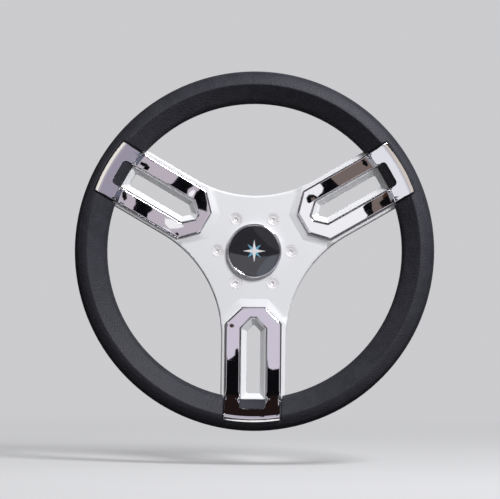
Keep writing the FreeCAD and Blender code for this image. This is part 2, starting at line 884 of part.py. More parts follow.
def build_insert(name, turn):
    """One insert: a plate on the arm that steps up and follows the rim's facet and crown."""
    body = new_body(name, turn)
    stand = cell("insert_stand")
    bed = -cell("insert_bed")
    start = cell("insert_start") - OVERRUN
    stop = riser_end - cell("insert_wall")
    plate = new_sketch(body, name + "_plate", "YZ_Plane")
    draw_loop(plate, side_view([
        (start, arm_height(start, stand)),
        (start, arm_height(start, bed)),
        (stop, arm_height(stop, bed)),
        (stop, arm_height(stop, stand)),
    ]))
    add_pad(body, plate, (insert_half + OVERRUN) * 2, both_ways=True)

    end = insert_end + OVERRUN
    groove_half = cell("groove_half_width")
    riser_low = arm_height(riser_start, stand)
    riser_high = facet_height(riser_end) + over_facet
    riser_slope = (riser_high - riser_low) / (riser_end - riser_start)
    hidden = riser_start - cell("insert_wall") / 2
    crown = cell("crown_radius") + cell("insert_over_rim")
    under = arm_height(foot_radius, bed + cell("fit_gap"))

    def crown_height_at(run):
        return cell("crown_height") + leg(crown, run - crown_centre)

    shell = new_sketch(body, name + "_shell", "YZ_Plane")
    draw_loop(shell, side_view([
        (hidden, under),
        (foot_radius, under),
        (foot_radius, facet_height(foot_radius) - insert_drop),
        (groove_run, facet_height(groove_run) - insert_drop),
        (groove_run + groove_half, insert_end_floor),
        (end, insert_end_floor),
        (end, crown_height_at(end)),
        (groove_run + groove_half, crown_height_at(groove_run + groove_half), crown, 1),
        (groove_run, facet_height(groove_run) + over_facet - cell("groove_depth")),
        (groove_run - groove_half, facet_height(groove_run - groove_half) + over_facet),
        (riser_end, riser_high),
        (hidden, riser_low - (riser_start - hidden) * riser_slope),
    ]))
    add_turned(body, shell, "H_Axis", WEDGE)

    trim = new_sketch(body, name + "_trim", "XZ_Plane", BEYOND)
    draw_surround(trim)
    draw_loop(trim, insert_outline(as_size(0.0), insert_end))
    window_end = rounded_end(window_half, pad_end + cell("pad_gap"), cell("pad_corner") + cell("pad_gap"))
    draw_loop(trim, mirrored(frame_point(cell("window_gap")) + window_end))
    trimmed = cut_pocket(body, trim)

    corners = front_corners(trimmed.Shape, lambda point: True)
    dress(body, "Fillet", trimmed, corners, "Radius", cell("insert_edge"))

    boss_level = bed - cell("insert_boss_length")
    boss = screw_circles(body, name + "_bosses", boss_level, cell("insert_boss_radius"))
    add_pad(body, boss, cell("insert_boss_length") + cell("insert_bed"))
    pilot_radius = cell("insert_screw_radius") + cell("thread_gap")
    pilot = screw_circles(body, name + "_pilots", boss_level, pilot_radius)
    depth = cell("insert_boss_length") + cell("insert_screw_bite") + cell("screw_gap")
    cut_pocket(body, pilot, depth, forwards=True)
    return body


def build_insert_screws():
    """The short screws that hold the inserts from behind."""
    body = new_body("insert_screws", LOWER_SPOKE)
    seat = -cell("insert_seat_depth")
    head = screw_circles(body, "screw_head", seat, cell("insert_screw_head_radius"))
    repeat_round(body, add_pad(body, head, cell("insert_screw_head_height"), backwards=True))
    shank = screw_circles(body, "screw_shank", seat, cell("insert_screw_radius"))
    reach = cell("insert_seat_depth") - cell("insert_bed") + cell("insert_screw_bite")
    repeat_round(body, add_pad(body, shank, reach))
    return body


# The hub and its screws

def build_hub():
    """The hub: a flange for the six screws and a barrel with a tapered, keyed bore."""
    body = new_body("hub_boss", LOWER_SPOKE)
    flange_back = hub_back - cell("hub_flange_thickness")
    recess_floor = hub_back - cell("nut_recess_depth")
    bore_length = cell("hub_length") - cell("nut_recess_depth")
    small_radius = cell("taper_large_radius") - bore_length / (2 * cell("taper_ratio"))
    section = new_sketch(body, "hub_section", "XY_Plane")
    draw_loop(section, section_view([
        (cell("nut_recess_radius"), hub_back),
        (cell("hub_flange_radius"), hub_back),
        (cell("hub_flange_radius"), flange_back),
        (cell("hub_neck_radius"), flange_back),
        (cell("hub_tail_radius"), hub_end),
        (cell("taper_large_radius"), hub_end),
        (small_radius, recess_floor),
        (cell("nut_recess_radius"), recess_floor),
    ]))
    turned = add_turned(body, section, "V_Axis")
    neck = rings_at(turned.Shape, cell("hub_neck_radius"), flange_back)
    rounded = dress(body, "Fillet", turned, neck, "Radius", cell("hub_neck_round"))
    outer = rings_at(rounded.Shape, cell("hub_flange_radius"), flange_back)
    outer = outer + rings_at(rounded.Shape, cell("hub_tail_radius"), hub_end)
    dress(body, "Chamfer", rounded, outer, "Size", cell("hub_edge"))

    threads = hub_screw_circles(body, "thread_holes", hub_back, cell("hub_screw_radius") + cell("thread_gap"))
    cut_pocket(body, threads)
    key = new_sketch(body, "keyway", "XZ_Plane", hub_end)
    key_top = cell("taper_large_radius") + cell("key_depth")
    draw_loop(key, mirrored([(cell("key_width") / 2, -small_radius / 2), (cell("key_width") / 2, -key_top)]))
    cut_pocket(body, key, bore_length, forwards=True)
    return body


def build_hub_screws():
    """Six countersunk socket screws, flush with the hub plate."""
    body = new_body("hub_screws", LOWER_SPOKE)
    top = hub_face - cell("fit_gap")
    head_radius = cell("hub_screw_head_radius")
    cone_top = top - cell("hub_screw_head_land")
    cone_length = head_radius - cell("hub_screw_radius")
    land = hub_screw_circles(body, "head_land", top, head_radius)
    add_pad(body, land, cell("hub_screw_head_land"), backwards=True)
    cone = hub_screw_circles(body, "head_cone", cone_top, head_radius)
    add_pad(body, cone, cone_length, backwards=True, taper=-COUNTERSINK / 2)
    shank = hub_screw_circles(body, "shank", top, cell("hub_screw_radius"))
    add_pad(body, shank, cell("hub_screw_length"), backwards=True)

    socket = new_sketch(body, "hex_socket", "XZ_Plane", top)
    corner_radius = cell("hub_screw_socket") / 2 / cosine(30.0)
    for number in range(HUB_SCREWS):
        angle = 360.0 / HUB_SCREWS * number
        x = cell("bolt_circle_radius") * cosine(angle)
        y = cell("bolt_circle_radius") * sine(angle)
        hexagon = [(x + corner_radius * cosine(60.0 * k), y + corner_radius * sine(60.0 * k)) for k in range(6)]
        draw_loop(socket, hexagon)
    cut_pocket(body, socket, cell("hub_screw_socket_depth"))
    return body


# The centre cap

def build_cap_bezel():
    """The chromed cap: a rounded lip round a seat for the disc, and a skirt with a groove for the ring."""
    body = new_body("cap_bezel")
    radius = cell("cap_radius")
    lip = cell("cap_lip")
    bead = lip / 2
    groove_half = cell("o_ring_section") + cell("thread_gap")
    groove_middle = hub_face - cell("o_ring_depth")
    groove_floor = skirt_radius - 2 * cell("o_ring_section")
    skirt_end = hub_back + cell("fit_gap")
    inner = skirt_radius - cell("cap_skirt_wall")
    section = new_sketch(body, "bezel_section", "XY_Plane")
    draw_loop(section, section_view([
        (0.0, cap_seat),
        (radius - lip, cap_seat),
        (radius - lip, cap_top - bead),
        (radius - bead, cap_top, bead, -1),
        (radius, cap_top - bead, bead, -1),
        (radius, hub_face),
        (skirt_radius, hub_face),
        (skirt_radius, groove_middle + groove_half),
        (groove_floor, groove_middle + groove_half),
        (groove_floor, groove_middle - groove_half),
        (skirt_radius, groove_middle - groove_half),
        (skirt_radius, skirt_end),
        (inner, skirt_end),
        (inner, cap_seat - cell("cap_floor")),
        (0.0, cap_seat - cell("cap_floor")),
    ]))
    add_turned(body, section, "V_Axis")
    return body


def build_cap_disc():
    """The gloss disc, slightly crowned, in the cap's seat."""
    body = new_body("cap_disc")
    radius = cell("cap_radius") - cell("cap_lip") - cell("fit_gap")
    crown = cell("cap_disc_crown")
    edge_top = cap_seat + cell("cap_disc_thickness") - crown
    crown_radius = (radius * radius + crown * crown) / (2 * crown)
    section = new_sketch(body, "disc_section", "XY_Plane")
    draw_loop(section, section_view([
        (0.0, cap_seat),
        (radius, cap_seat),
        (radius, edge_top),
        (0.0, edge_top + crown, crown_radius, 1),
    ]))
    add_turned(body, section, "V_Axis")
    return body


def build_o_ring():
    """The ring in the cap's groove, which grips the bore of the hub plate."""
    body = new_body("cap_o_ring")
    section = new_sketch(body, "ring_section", "XY_Plane")
    middle = skirt_radius - cell("o_ring_section")
    draw_circle(section, middle, -(hub_face - cell("o_ring_depth")), cell("o_ring_section"))
    add_turned(body, section, "V_Axis")
    return body


pieces = [
    build_rim(),
    build_spider(),
    build_insert("insert_lower", LOWER_SPOKE),
    build_insert("insert_upper_left", LOWER_SPOKE + ARM_ANGLE),
    build_insert("insert_upper_right", LOWER_SPOKE - ARM_ANGLE),
    build_insert_screws(),
    build_hub(),
    build_hub_screws(),
    build_cap_bezel(),
    build_cap_disc(),
    build_o_ring(),
]
doc.recompute()

for item in doc.Objects:
    if "Invalid" in item.State or "Error" in item.State:
        raise ValueError("%s failed: %s" % (item.Name, item.State))
for piece in pieces:
    if piece.Shape.isNull() or not piece.Shape.isValid() or not piece.Shape.Solids:
        raise ValueError(piece.Label + " has no valid solid")

os.makedirs("parts", exist_ok=True)
for piece in pieces:
    piece.Shape.exportStep("parts/%s.step" % piece.Label)
    print("%s: %d solid(s), %.1f mm3" % (piece.Label, len(piece.Shape.Solids), piece.Shape.Volume))
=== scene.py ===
import logging
import math
from dataclasses import dataclass
from enum import Enum

import bpy
import bmesh
from mathutils import Matrix, Vector


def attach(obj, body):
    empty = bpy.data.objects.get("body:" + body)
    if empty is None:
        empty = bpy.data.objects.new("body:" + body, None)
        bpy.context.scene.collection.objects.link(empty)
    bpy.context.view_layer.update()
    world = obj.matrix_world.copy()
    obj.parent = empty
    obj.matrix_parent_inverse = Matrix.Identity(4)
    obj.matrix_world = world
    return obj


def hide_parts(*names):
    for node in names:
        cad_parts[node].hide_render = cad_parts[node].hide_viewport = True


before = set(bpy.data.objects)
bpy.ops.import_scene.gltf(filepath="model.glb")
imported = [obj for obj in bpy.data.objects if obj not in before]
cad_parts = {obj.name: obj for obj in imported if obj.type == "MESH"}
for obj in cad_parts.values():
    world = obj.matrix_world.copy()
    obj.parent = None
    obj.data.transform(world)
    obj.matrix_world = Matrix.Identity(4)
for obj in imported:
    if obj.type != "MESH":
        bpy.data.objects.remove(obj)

log = logging.getLogger("boat_wheel")
MM = 0.001
Pair = tuple[float, float]
Triple = tuple[float, float, float]
Colour = tuple[float, float, float]
Settings = tuple[tuple[str, float], ...]
Socket = bpy.types.NodeSocket
Piece = bpy.types.Object
Material = bpy.types.Material


class Slot(Enum):
    """The record's material slots."""

    RIM = "rim_polyurethane"
    SPIDER = "spider_enamel"
    INSERT = "insert_chrome"
    SCREW = "screw_steel"
    HUB = "hub_black"
    CAP = "cap_chrome"
    DISC = "disc_gloss"
    RING = "ring_rubber"


class Tree:
    """A node tree of a material or a world, with short calls to add nodes and to join them."""

    def __init__(self, owner: bpy.types.ID) -> None:
        """Opens the owner's tree."""
        owner.use_nodes = True
        self.nodes = owner.node_tree.nodes
        self.links = owner.node_tree.links

    def add(self, kind: str, **values: object) -> bpy.types.Node:
        """Adds a node and sets its values."""
        node = self.nodes.new(kind)
        self.set(node, **values)
        return node

    def set(self, node: bpy.types.Node, **values: object) -> None:
        """Sets a node's properties, or its inputs with spaces as underscores and colours as three values."""
        for key, value in values.items():
            if hasattr(node, key):
                setattr(node, key, value)
            else:
                value = (*value, 1.0) if isinstance(value, tuple) else value
                node.inputs[key.replace("_", " ")].default_value = value

    def join(self, source: Socket, target: Socket) -> None:
        """Links an output to an input."""
        self.links.new(source, target)

    def spread(self, source: Socket, low: float, high: float, start: float = 0.35, stop: float = 0.65,
               **options: str) -> Socket:
        """Stretches a value to a range, from low at start to high at stop. The options are the node's properties."""
        node = self.add("ShaderNodeMapRange", From_Min=start, From_Max=stop, To_Min=low, To_Max=high, **options)
        self.join(source, node.inputs["Value"])
        return node.outputs["Result"]

    def facing(self, way: Socket, towards: Triple, low: float, high: float, start: float, stop: float) -> Socket:
        """Eases a value by the cosine between a direction and another, which is (right, front, up)."""
        right, front, up = towards
        node = self.add("ShaderNodeVectorMath", operation="DOT_PRODUCT")
        self.join(way, node.inputs[0])
        node.inputs[1].default_value = Vector((right, -front, up)).normalized()
        return self.spread(node.outputs["Value"], low, high, start, stop, interpolation_type="SMOOTHSTEP")

    def blend(self, source: Socket, first: Colour | Socket, second: Colour) -> Socket:
        """Blends two colours by a value from 0 to 1. The first may also come from a node."""
        node = self.add("ShaderNodeMix", data_type="RGBA")
        self.join(source, node.inputs["Factor"])
        low, high = [socket for socket in node.inputs if socket.type == "RGBA"]
        if isinstance(first, tuple):
            low.default_value = (*first, 1.0)
        else:
            self.join(first, low)
        high.default_value = (*second, 1.0)
        return [socket for socket in node.outputs if socket.type == "RGBA"][0]

    def choose(self, share: Socket, first: Socket, second: Socket) -> Socket:
        """Mixes two shaders, the second by a share from 0 to 1."""
        node = self.add("ShaderNodeMixShader")
        self.join(share, node.inputs["Fac"])
        self.join(first, node.inputs[1])
        self.join(second, node.inputs[2])
        return node.outputs[0]


@dataclass(frozen=True)
class Noise:
    """A noise pattern: features per metre, octaves of detail and how strong the finer ones are."""

    scale: float
    detail: float = 3.0
    rough: float = 0.5


class Graph(Tree):
    """A material's node tree, with its surface shader and the patterns fixed to its piece."""

    def __init__(self, name: str) -> None:
        """Starts a material with one surface shader."""
        self.material = bpy.data.materials.new(name)
        super().__init__(self.material)
        self.shader = self.nodes["Principled BSDF"]
        self.place = self.add("ShaderNodeTexCoord").outputs["Object"]

    def drive(self, name: str, source: Socket) -> None:
        """Joins a pattern to a socket of the surface shader."""
        self.join(source, self.shader.inputs[name])

    def show(self, surface: Socket) -> None:
        """Makes a shader the material's surface."""
        self.join(surface, self.nodes["Material Output"].inputs["Surface"])

    def noise(self, pattern: Noise) -> Socket:
        """The value of a noise pattern."""
        node = self.add("ShaderNodeTexNoise", Scale=pattern.scale, Detail=pattern.detail, Roughness=pattern.rough)
        self.join(self.place, node.inputs["Vector"])
        return node.outputs["Fac"]

    def cells(self, scale: float) -> Socket:
        """Distances within a pattern of cells, of which a metre holds as many as the scale says."""
        node = self.add("ShaderNodeTexVoronoi", feature="F1", Scale=scale)
        self.join(self.place, node.inputs["Vector"])
        return node.outputs["Distance"]

    def bump(self, source: Socket, height: float, strength: float, below: Socket | None = None) -> Socket:
        """Raises the surface by a value, up to a height in metres, on a coarser relief if there is one below."""
        node = self.add("ShaderNodeBump", Strength=strength, Distance=height)
        self.join(source, node.inputs["Height"])
        if below is not None:
            self.join(below, node.inputs["Normal"])
        return node.outputs["Normal"]


@dataclass(frozen=True)
class Finish:
    """A surface finish, with noise in its tone, its roughness and its relief.

    Attributes:
        other: The colour where the tone's noise is high, or nothing for an even colour.
        roughness: Its range, which the haze's noise spans.
        height: Height of the relief in metres, of which as much shows as strength says.
        settings: Other sockets of the shader.
    """

    name: str
    base: Colour
    haze: Noise
    roughness: Pair
    relief: Noise
    height: float = 0.01 * MM
    strength: float = 0.3
    other: Colour | None = None
    tone: Noise | None = None
    settings: Settings = ()

    def raised(self, graph: Graph) -> Socket:
        """The normal that the relief gives."""
        return graph.bump(graph.noise(self.relief), self.height, self.strength)

    def build(self) -> Material:
        """Makes the material."""
        graph = Graph(self.name)
        graph.set(graph.shader, Base_Color=self.base, **dict(self.settings))
        if self.other is not None:
            share = graph.spread(graph.noise(self.tone), 0.0, 1.0)
            graph.drive("Base Color", graph.blend(share, self.base, self.other))
        graph.drive("Roughness", graph.spread(graph.noise(self.haze), *self.roughness))
        graph.drive("Normal", self.raised(graph))
        return graph.material


@dataclass(frozen=True)
class GrainedPolyurethane(Finish):
    """Black moulded polyurethane with a fine leather grain, of cells with a finer relief on them."""

    name: str = "grained_polyurethane"
    base: Colour = (0.030, 0.030, 0.038)
    other: Colour = (0.038, 0.038, 0.047)
    tone: Noise = Noise(90.0, 4.0, 0.6)
    haze: Noise = Noise(90.0, 4.0, 0.6)
    roughness: Pair = (0.50, 0.60)
    relief: Noise = Noise(1612.0, 5.0, 0.7)
    height: float = 0.14 * MM
    strength: float = 0.7
    grain: float = 620.0
    grain_height: float = 0.30 * MM
    grain_strength: float = 0.9
    settings: Settings = (("IOR", 1.5), ("Specular_IOR_Level", 0.22))

    def raised(self, graph: Graph) -> Socket:
        """The normal that the grain and the finer relief give."""
        coarse = graph.bump(graph.cells(self.grain), self.grain_height, self.grain_strength)
        return graph.bump(graph.noise(self.relief), self.height, self.strength, coarse)


@dataclass(frozen=True)
class WhiteEnamel(Finish):
    """Glossy white stove enamel over a casting, with a slight orange peel."""

    name: str = "white_enamel"
    base: Colour = (0.80, 0.80, 0.807)
    other: Colour = (0.81, 0.81, 0.815)
    tone: Noise = Noise(28.0, 2.0)
    haze: Noise = Noise(140.0)
    roughness: Pair = (0.30, 0.34)
    relief: Noise = Noise(420.0, 2.0)
    strength: float = 0.2
    settings: Settings = (("IOR", 1.5), ("Specular_IOR_Level", 0.4))


@dataclass(frozen=True)
class MirrorChrome(Finish):
    """Bright chrome plating, faintly rippled and hazed."""

    base: Colour = (0.80, 0.80, 0.83)
    haze: Noise = Noise(110.0, 4.0, 0.6)
    roughness: Pair = (0.0126, 0.0252)
    relief: Noise = Noise(60.0, 1.0)
    height: float = 0.02 * MM
    strength: float = 0.10
    settings: Settings = (("Metallic", 1.0),)


@dataclass(frozen=True)
class SatinSteel(Finish):
    """Turned stainless steel with fine marks."""

    name: str = "satin_steel"
    base: Colour = (0.94, 0.93, 0.925)
    haze: Noise = Noise(1400.0, 4.0, 0.7)
    roughness: Pair = (0.48, 0.58)
    relief: Noise = Noise(1400.0, 4.0, 0.7)
    strength: float = 0.4
    settings: Settings = (("Metallic", 1.0),)


@dataclass(frozen=True)
class BlackHub(Finish):
    """Satin black finish on the machined hub."""

    name: str = "black_hub"
    base: Colour = (0.035, 0.035, 0.038)
    other: Colour = (0.045, 0.045, 0.048)
    tone: Noise = Noise(160.0, 4.0, 0.6)
    haze: Noise = Noise(160.0, 4.0, 0.6)
    roughness: Pair = (0.32, 0.44)
    relief: Noise = Noise(2600.0)
    height: float = 0.02 * MM
    strength: float = 0.4


@dataclass(frozen=True)
class GlossDisc(Finish):
    """Deep gloss black of the cap's disc."""

    name: str = "gloss_disc"
    base: Colour = (0.018, 0.018, 0.022)
    haze: Noise = Noise(90.0)
    roughness: Pair = (0.05, 0.10)
    relief: Noise = Noise(60.0, 1.0)
    strength: float = 0.1
    settings: Settings = (("IOR", 1.5), ("Coat_Weight", 1.0), ("Coat_Roughness", 0.03))


@dataclass(frozen=True)
class InlayEnamel(Finish):
    """Hard enamel of the cap's inlay."""

    tone: Noise = Noise(700.0)
    haze: Noise = Noise(700.0)
    roughness: Pair = (0.22, 0.32)
    relief: Noise = Noise(700.0)
    height: float = 0.004 * MM


@dataclass(frozen=True)
class RingRubber(Finish):
    """Dull rubber of the sealing ring."""

    name: str = "ring_rubber"
    base: Colour = (0.020, 0.020, 0.020)
    haze: Noise = Noise(900.0)
    roughness: Pair = (0.55, 0.75)
    relief: Noise = Noise(900.0)
    height: float = 0.02 * MM


def clamped(value: float) -> float:
    """A value, kept between 0 and 1."""
    return max(0.0, min(1.0, value))


def select_only(piece: Piece) -> None:
    """Makes one piece the only selected and the active one."""
    bpy.ops.object.select_all(action="DESELECT")
    piece.select_set(True)
    bpy.context.view_layer.objects.active = piece


def edit(elements: str) -> None:
    """Starts editing the active piece's mesh, with none of its elements selected."""
    bpy.ops.object.mode_set(mode="EDIT")
    bpy.ops.mesh.select_mode(type=elements)
    bpy.ops.mesh.select_all(action="DESELECT")


def apply_modifiers(piece: Piece) -> None:
    """Applies a piece's modifiers in order."""
    select_only(piece)
    for modifier in list(piece.modifiers):
        bpy.ops.object.modifier_apply(modifier=modifier.name)


def settle(piece: Piece) -> None:
    """Moves a piece's place into its mesh, so that its object is at the origin."""
    select_only(piece)
    bpy.ops.object.transform_apply(location=True, rotation=True, scale=True)


def enter_piece(name: str, piece: Piece, slot: Slot, finish: Material, *nodes: str) -> None:
    """Names a new piece, gives it its finish and makes it part of the wheel.

    Args:
        name: The piece's name.
        piece: The finished piece.
        slot: The record's slot for its finish; not used.
        finish: Its material.
        nodes: The CAD pieces it stands for.
    """
    settle(piece)
    piece.name = name
    piece.data.name = name
    piece.data.materials.clear()
    piece.data.materials.append(finish)
    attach(piece, "root")
    if nodes:
        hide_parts(*nodes)
    log.info("%s: %d faces", name, len(piece.data.polygons))


def dress(node: str, material: Material) -> None:
    """Gives a carried-over piece its finish."""
    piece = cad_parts[node]
    piece.data.materials.clear()
    piece.data.materials.append(material)
    log.info("dressed %s with %s", node, material.name)


def break_edges(piece: Piece, width: float, limit: float) -> None:
    """Applies a piece's modifiers, and then rounds the edges whose faces meet at more than an angle."""
    bevel = piece.modifiers.new("edge", "BEVEL")
    bevel.width = width
    bevel.segments = 2
    bevel.limit_method = "ANGLE"
    bevel.angle_limit = limit
    bevel.use_clamp_overlap = True
    apply_modifiers(piece)


def draw_in(piece: Piece) -> None:
    """Brings the rim's crease, and what lies along it, a little nearer to the axis on the rim's front half."""
    step, start, full, hold, end = 1.3 * MM, 153.0 * MM, 165.5 * MM, 172.5 * MM, 177.0 * MM
    low, high = 61.0 * MM, 68.0 * MM
    for vertex in piece.data.vertices:
        reach = math.hypot(vertex.co.x, vertex.co.z)
        share = min(1.0, (reach - start) / (full - start), (end - reach) / (end - hold))
        share *= clamped((-vertex.co.y - low) / (high - low))
        if share > 0.0:
            scale = 1.0 - step * share / reach
            vertex.co.x *= scale
            vertex.co.z *= scale
    piece.data.update()


@dataclass
class Refined:
    """A rigid piece worked over from its solid: cleaned, its edges broken and its flats shaded flat.

    Attributes:
        node: The solid's name.
        edge: Width of the broken edges, or 0 for none, where faces meet at more than broken.
        flat: Faces larger than this, in square metres, keep a crisp edge where they meet at more than crisp.
        steep: Smaller faces do too where they meet at more than this.
        level: Faces that meet at less than this become one.
    """

    node: str
    name: str
    slot: Slot
    edge: float = 0.0
    broken: float = math.radians(28.0)
    flat: float = 4e-6
    crisp: float = math.radians(9.0)
    steep: float = math.radians(40.0)
    weld: float = 2e-6
    level: float = math.radians(0.4)

    def copy_solid(self) -> Piece:
        """Copies the solid's mesh and joins its loose triangles into clean faces."""
        piece = bpy.data.objects.new(self.name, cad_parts[self.node].data.copy())
        bpy.context.collection.objects.link(piece)
        select_only(piece)
        bpy.ops.mesh.customdata_custom_splitnormals_clear()
        bpy.ops.object.mode_set(mode="EDIT")
        bpy.ops.mesh.select_all(action="SELECT")
        bpy.ops.mesh.remove_doubles(threshold=self.weld)
        bpy.ops.mesh.dissolve_limited(angle_limit=self.level)
        bpy.ops.object.mode_set(mode="OBJECT")
        return piece

    def reshape(self, piece: Piece) -> None:
        """Leaves the shape as the solid has it."""

    def mark_edges(self, piece: Piece) -> None:
        """Marks as sharp the edges between faces that are both large, and all steep ones."""
        edit("EDGE")
        shape = bmesh.from_edit_mesh(piece.data)
        for edge in shape.edges:
            if len(edge.link_faces) != 2:
                continue
            angle = edge.calc_face_angle(0.0)
            large = min(face.calc_area() for face in edge.link_faces) > self.flat
            edge.select_set(angle > self.steep or (large and angle > self.crisp))
        bmesh.update_edit_mesh(piece.data)
        bpy.ops.mesh.mark_sharp()
        bpy.ops.object.mode_set(mode="OBJECT")

    def build(self, finish: Material) -> None:
        """Makes the piece with its finish, in place of its solid."""
        piece = self.copy_solid()
        self.reshape(piece)
        bpy.ops.object.shade_smooth()
        if self.edge:
            break_edges(piece, self.edge, self.broken)
        self.mark_edges(piece)
        even = piece.modifiers.new("even", "WEIGHTED_NORMAL")
        even.keep_sharp = True
        even.weight = 100
        apply_modifiers(piece)
        enter_piece(self.name, piece, self.slot, finish, self.node)


@dataclass
class Rim(Refined):
    """The rim, with its crease drawn in."""

    def reshape(self, piece: Piece) -> None:
        """Draws the crease in."""
        draw_in(piece)


class Spoke(Enum):
    """The spokes, as angles clockwise from up."""

    LOWER = 180.0
    UPPER_LEFT = -60.0
    UPPER_RIGHT = 60.0

    @property
    def outward(self) -> Vector:
        """The direction along the spoke, away from the axis."""
        return Vector((math.sin(math.radians(self.value)), 0.0, math.cos(math.radians(self.value))))

    @property
    def across(self) -> Vector:
        """The direction across the spoke."""
        return Vector((math.cos(math.radians(self.value)), 0.0, -math.sin(math.radians(self.value))))


@dataclass(frozen=True)
class Outline:
    """An outline that widens from its end towards the axis up to its shoulder, with half its width at both."""

    start: float
    nose_half: float
    shoulder: float
    half: float

    def walls(self, side: float, run: float) -> list[Triple]:
        """Distances to the walls, below zero outside them.

        Args:
            side: Distance from the middle line.
            run: Distance from the wheel's axis, along the spoke.

        Returns:
            A distance and a direction away from the wall for each wall.
        """
        slant = Vector((self.half - self.nose_half, self.shoulder - self.start)).normalized()
        slant_gap = (run - self.start) * slant.x - (side - self.nose_half) * slant.y
        return [(run - self.start, 0.0, 1.0), (slant_gap, -slant.y, slant.x), (self.half - side, -1.0, 0.0)]


@dataclass
class Insert(Refined):
    """A chromed insert: a flat plate on the arm, a riser up to the rim and a facet that runs out at the crease.

    Its solid's rounding is opened out, and its groove deepened.

    Attributes:
        opened: Radius along the outline where the rounding is opened in full, and window_opened at the window.
        reach: How far from an edge the face still gives way.
        slack: How far beyond a wall a point still belongs to it.
        cuts: Where the faces are divided lengthwise, so that their ends don't bend their middles.
        foot: Where the plate ends.
        facet_end: Where the facet keeps the solid's rounding.
        facet_share: How much of the opening stays beyond the plate.
        groove_lip: Where the inner lip of the groove lies.
        groove_level: Level of the rim's top, which falls to the sides by groove_sag.
    """

    spoke: Spoke = Spoke.LOWER
    crisp: float = math.radians(15.0)
    outline: Outline = Outline(56.0 * MM, 11.0 * MM, 72.5 * MM, 28.2 * MM)
    window: Outline = Outline(66.9 * MM, 2.76 * MM, 77.765 * MM, 12.8 * MM)
    window_end: float = 158.4 * MM
    window_corner: float = 3.8 * MM
    rounding: float = 0.6 * MM
    opened: float = 2.0 * MM
    window_opened: float = 1.6 * MM
    reach: float = 3.6 * MM
    slack: float = 0.01 * MM
    cuts: Pair = (15.1 * MM, 25.5 * MM)
    cross_cut: float = 139.5 * MM
    touch: float = 1e-7
    foot: float = 145.4 * MM
    facet_end: float = 164.5 * MM
    fade: float = 4.5 * MM
    facet_share: float = 0.5
    groove: float = 167.0 * MM
    groove_lip: float = 166.4 * MM
    groove_half: float = 0.15 * MM
    groove_level: float = 76.5 * MM
    groove_sag: float = 0.03
    groove_drop: float = 0.9 * MM
    groove_widened: float = 0.45 * MM
    groove_slope: float = 0.7
    front_facing: float = -0.02

    def share(self, reach: float, window: bool) -> float:
        """How far the rounding opens at a distance from the axis: in full on the plate, in part beyond it."""
        plate = clamped((self.foot - reach) / self.fade)
        facet = clamped((self.facet_end - reach) / self.fade) * self.facet_share
        return plate if window else plate + (1.0 - plate) * facet

    def window_walls(self, side: float, run: float) -> list[Triple]:
        """Distances to the walls of the window, as for the outline, but below zero within it."""
        middle = self.window.half - self.window_corner
        bend = self.window_end - self.window_corner
        if side > middle and run > bend:
            spread = Vector((side - middle, run - bend))
            away = spread.normalized()
            return [(spread.length - self.window_corner, away.x, away.y)]
        tapered = [(-gap, -aside, -along) for gap, aside, along in self.window.walls(side, run)]
        return tapered + [(run - self.window_end, 0.0, 1.0)]

    def shifted(self, gap: float, growth: float) -> float:
        """How much further from its wall a point moves, where the rounding grows by a share."""
        if gap <= self.rounding:
            return gap * growth
        return self.rounding * growth * max(0.0, (self.reach - gap) / (self.reach - self.rounding))

    def move(self, walls: list[Triple], opened: float, share: float) -> Triple:
        """How a point near some walls moves.

        Args:
            walls: The walls, as distance and direction, the one that counts first.
            opened: Radius of the rounding where it is opened in full.
            share: How far it is opened here.

        Returns:
            The move across, along and to the back.
        """
        growth = (self.rounding + (opened - self.rounding) * share) / self.rounding - 1.0
        inner = self.rounding - min(walls[0][0], self.rounding)
        drop = growth * (self.rounding - math.sqrt(max(0.0, self.rounding ** 2 - inner ** 2)))
        if len(walls) == 1:
            gap, side, run = walls[0]
            return side * self.shifted(gap, growth), run * self.shifted(gap, growth), drop
        (first, a, b), (second, c, d) = walls[:2]
        one, two = self.shifted(first, growth), self.shifted(second, growth)
        turn = a * d - b * c
        return (one * d - two * b) / turn, (two * a - one * c) / turn, drop

    def step(self, side: float, run: float, reach: float) -> Triple:
        """How a point of the front moves: with the outline where that is near, or else with the window."""
        near = sorted(wall for wall in self.outline.walls(side, run) if -self.slack < wall[0] < self.reach)
        if near:
            return self.move(near, self.opened, self.share(reach, False))
        hole = sorted((wall for wall in self.window_walls(side, run) if wall[0] > -self.slack), reverse=True)
        if hole and hole[0][0] < self.reach:
            return self.move(hole, self.window_opened, self.share(reach, True))
        return 0.0, 0.0, 0.0

    def divide(self, shape: bmesh.types.BMesh) -> None:
        """Divides the faces lengthwise and across."""
        planes = [(self.spoke.across, side) for place in self.cuts for side in (-place, place)]
        for normal, place in planes + [(self.spoke.outward, self.cross_cut)]:
            parts = [*shape.verts, *shape.edges, *shape.faces]
            bmesh.ops.bisect_plane(shape, geom=parts, plane_co=normal * place, plane_no=normal, dist=self.touch)

    def deepen(self, vertex: bmesh.types.BMVert, side: float, reach: float) -> None:
        """Lowers a point at the bottom of the groove, or brings one of its inner lip in."""
        if -vertex.co.y <= self.groove_level - abs(side) * self.groove_sag:
            return
        if abs(reach - self.groove) < self.groove_half:
            vertex.co.y += self.groove_drop
        elif abs(reach - self.groove_lip) < self.groove_half:
            scale = 1.0 - self.groove_widened / reach
            vertex.co.x *= scale
            vertex.co.z *= scale
            vertex.co.y += self.groove_widened * self.groove_slope

